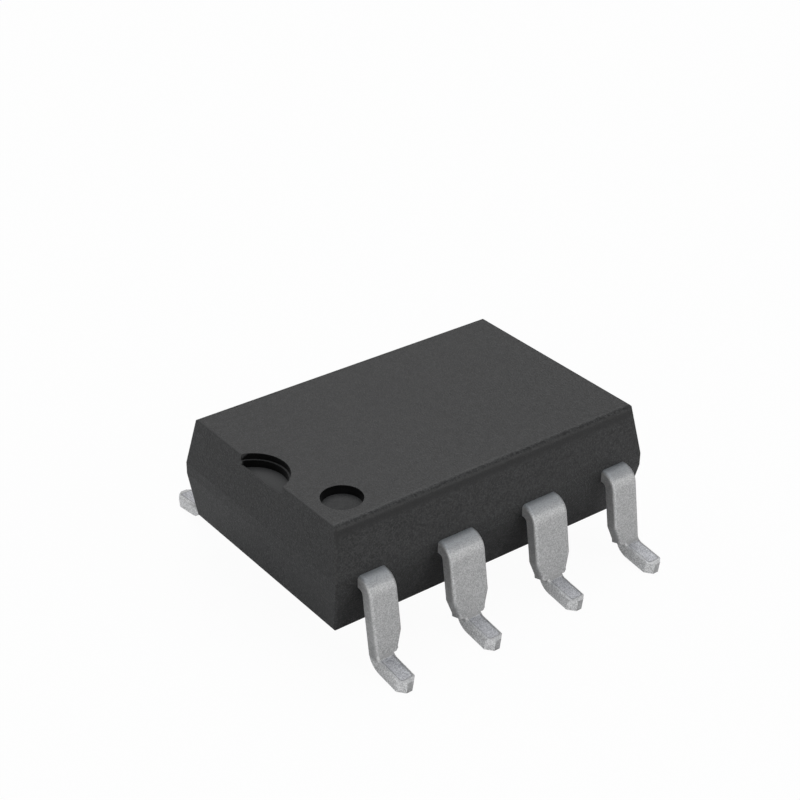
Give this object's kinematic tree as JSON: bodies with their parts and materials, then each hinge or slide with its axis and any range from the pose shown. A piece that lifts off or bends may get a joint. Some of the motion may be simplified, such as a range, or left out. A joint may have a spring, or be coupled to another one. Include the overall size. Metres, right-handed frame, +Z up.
{
  "type": "gull-wing surface-mount chip package",
  "caption": "Moulded black chip package with a half-round end notch, a pin 1 dimple and wide-shouldered gull-wing leads along both long sides, for soldering onto a board.",
  "frame": {"origin": "centre of the package on the board plane, under the middle of the body: the toes of all leads stand on z = 0", "axes": "+Z up out of the board, X along the body with the notched pin 1 end at -X, Y across it with pins 1 to 4 on the -Y side and pins 5 to 8 on the +Y side"},
  "size_m": [0.0092, 0.0096, 0.0036],
  "materials": {
    "mould_compound": "fine matte grain of a filled black epoxy moulding",
    "tinned_lead": "dull tin plating on a stamped copper alloy strip",
    "silver_adhesive": "dull silver-filled die adhesive",
    "silicon": "polished blue-grey silicon",
    "gold_wire": "bright drawn gold wire"
  },
  "bodies": {
    "root": {"package_body": "mould_compound", "lead_1": "tinned_lead", "lead_2": "tinned_lead", "lead_3": "tinned_lead", "lead_4": "tinned_lead", "lead_5": "tinned_lead", "lead_6": "tinned_lead", "lead_7": "tinned_lead", "lead_8": "tinned_lead", "die_attach": "silver_adhesive", "die": "silicon", "bond_wire_1": "gold_wire", "bond_wire_2": "gold_wire", "bond_wire_3": "gold_wire", "bond_wire_4": "gold_wire", "bond_wire_5": "gold_wire", "bond_wire_6": "gold_wire", "bond_wire_7": "gold_wire", "bond_wire_8": "gold_wire"}
  },
  "joints": []
}
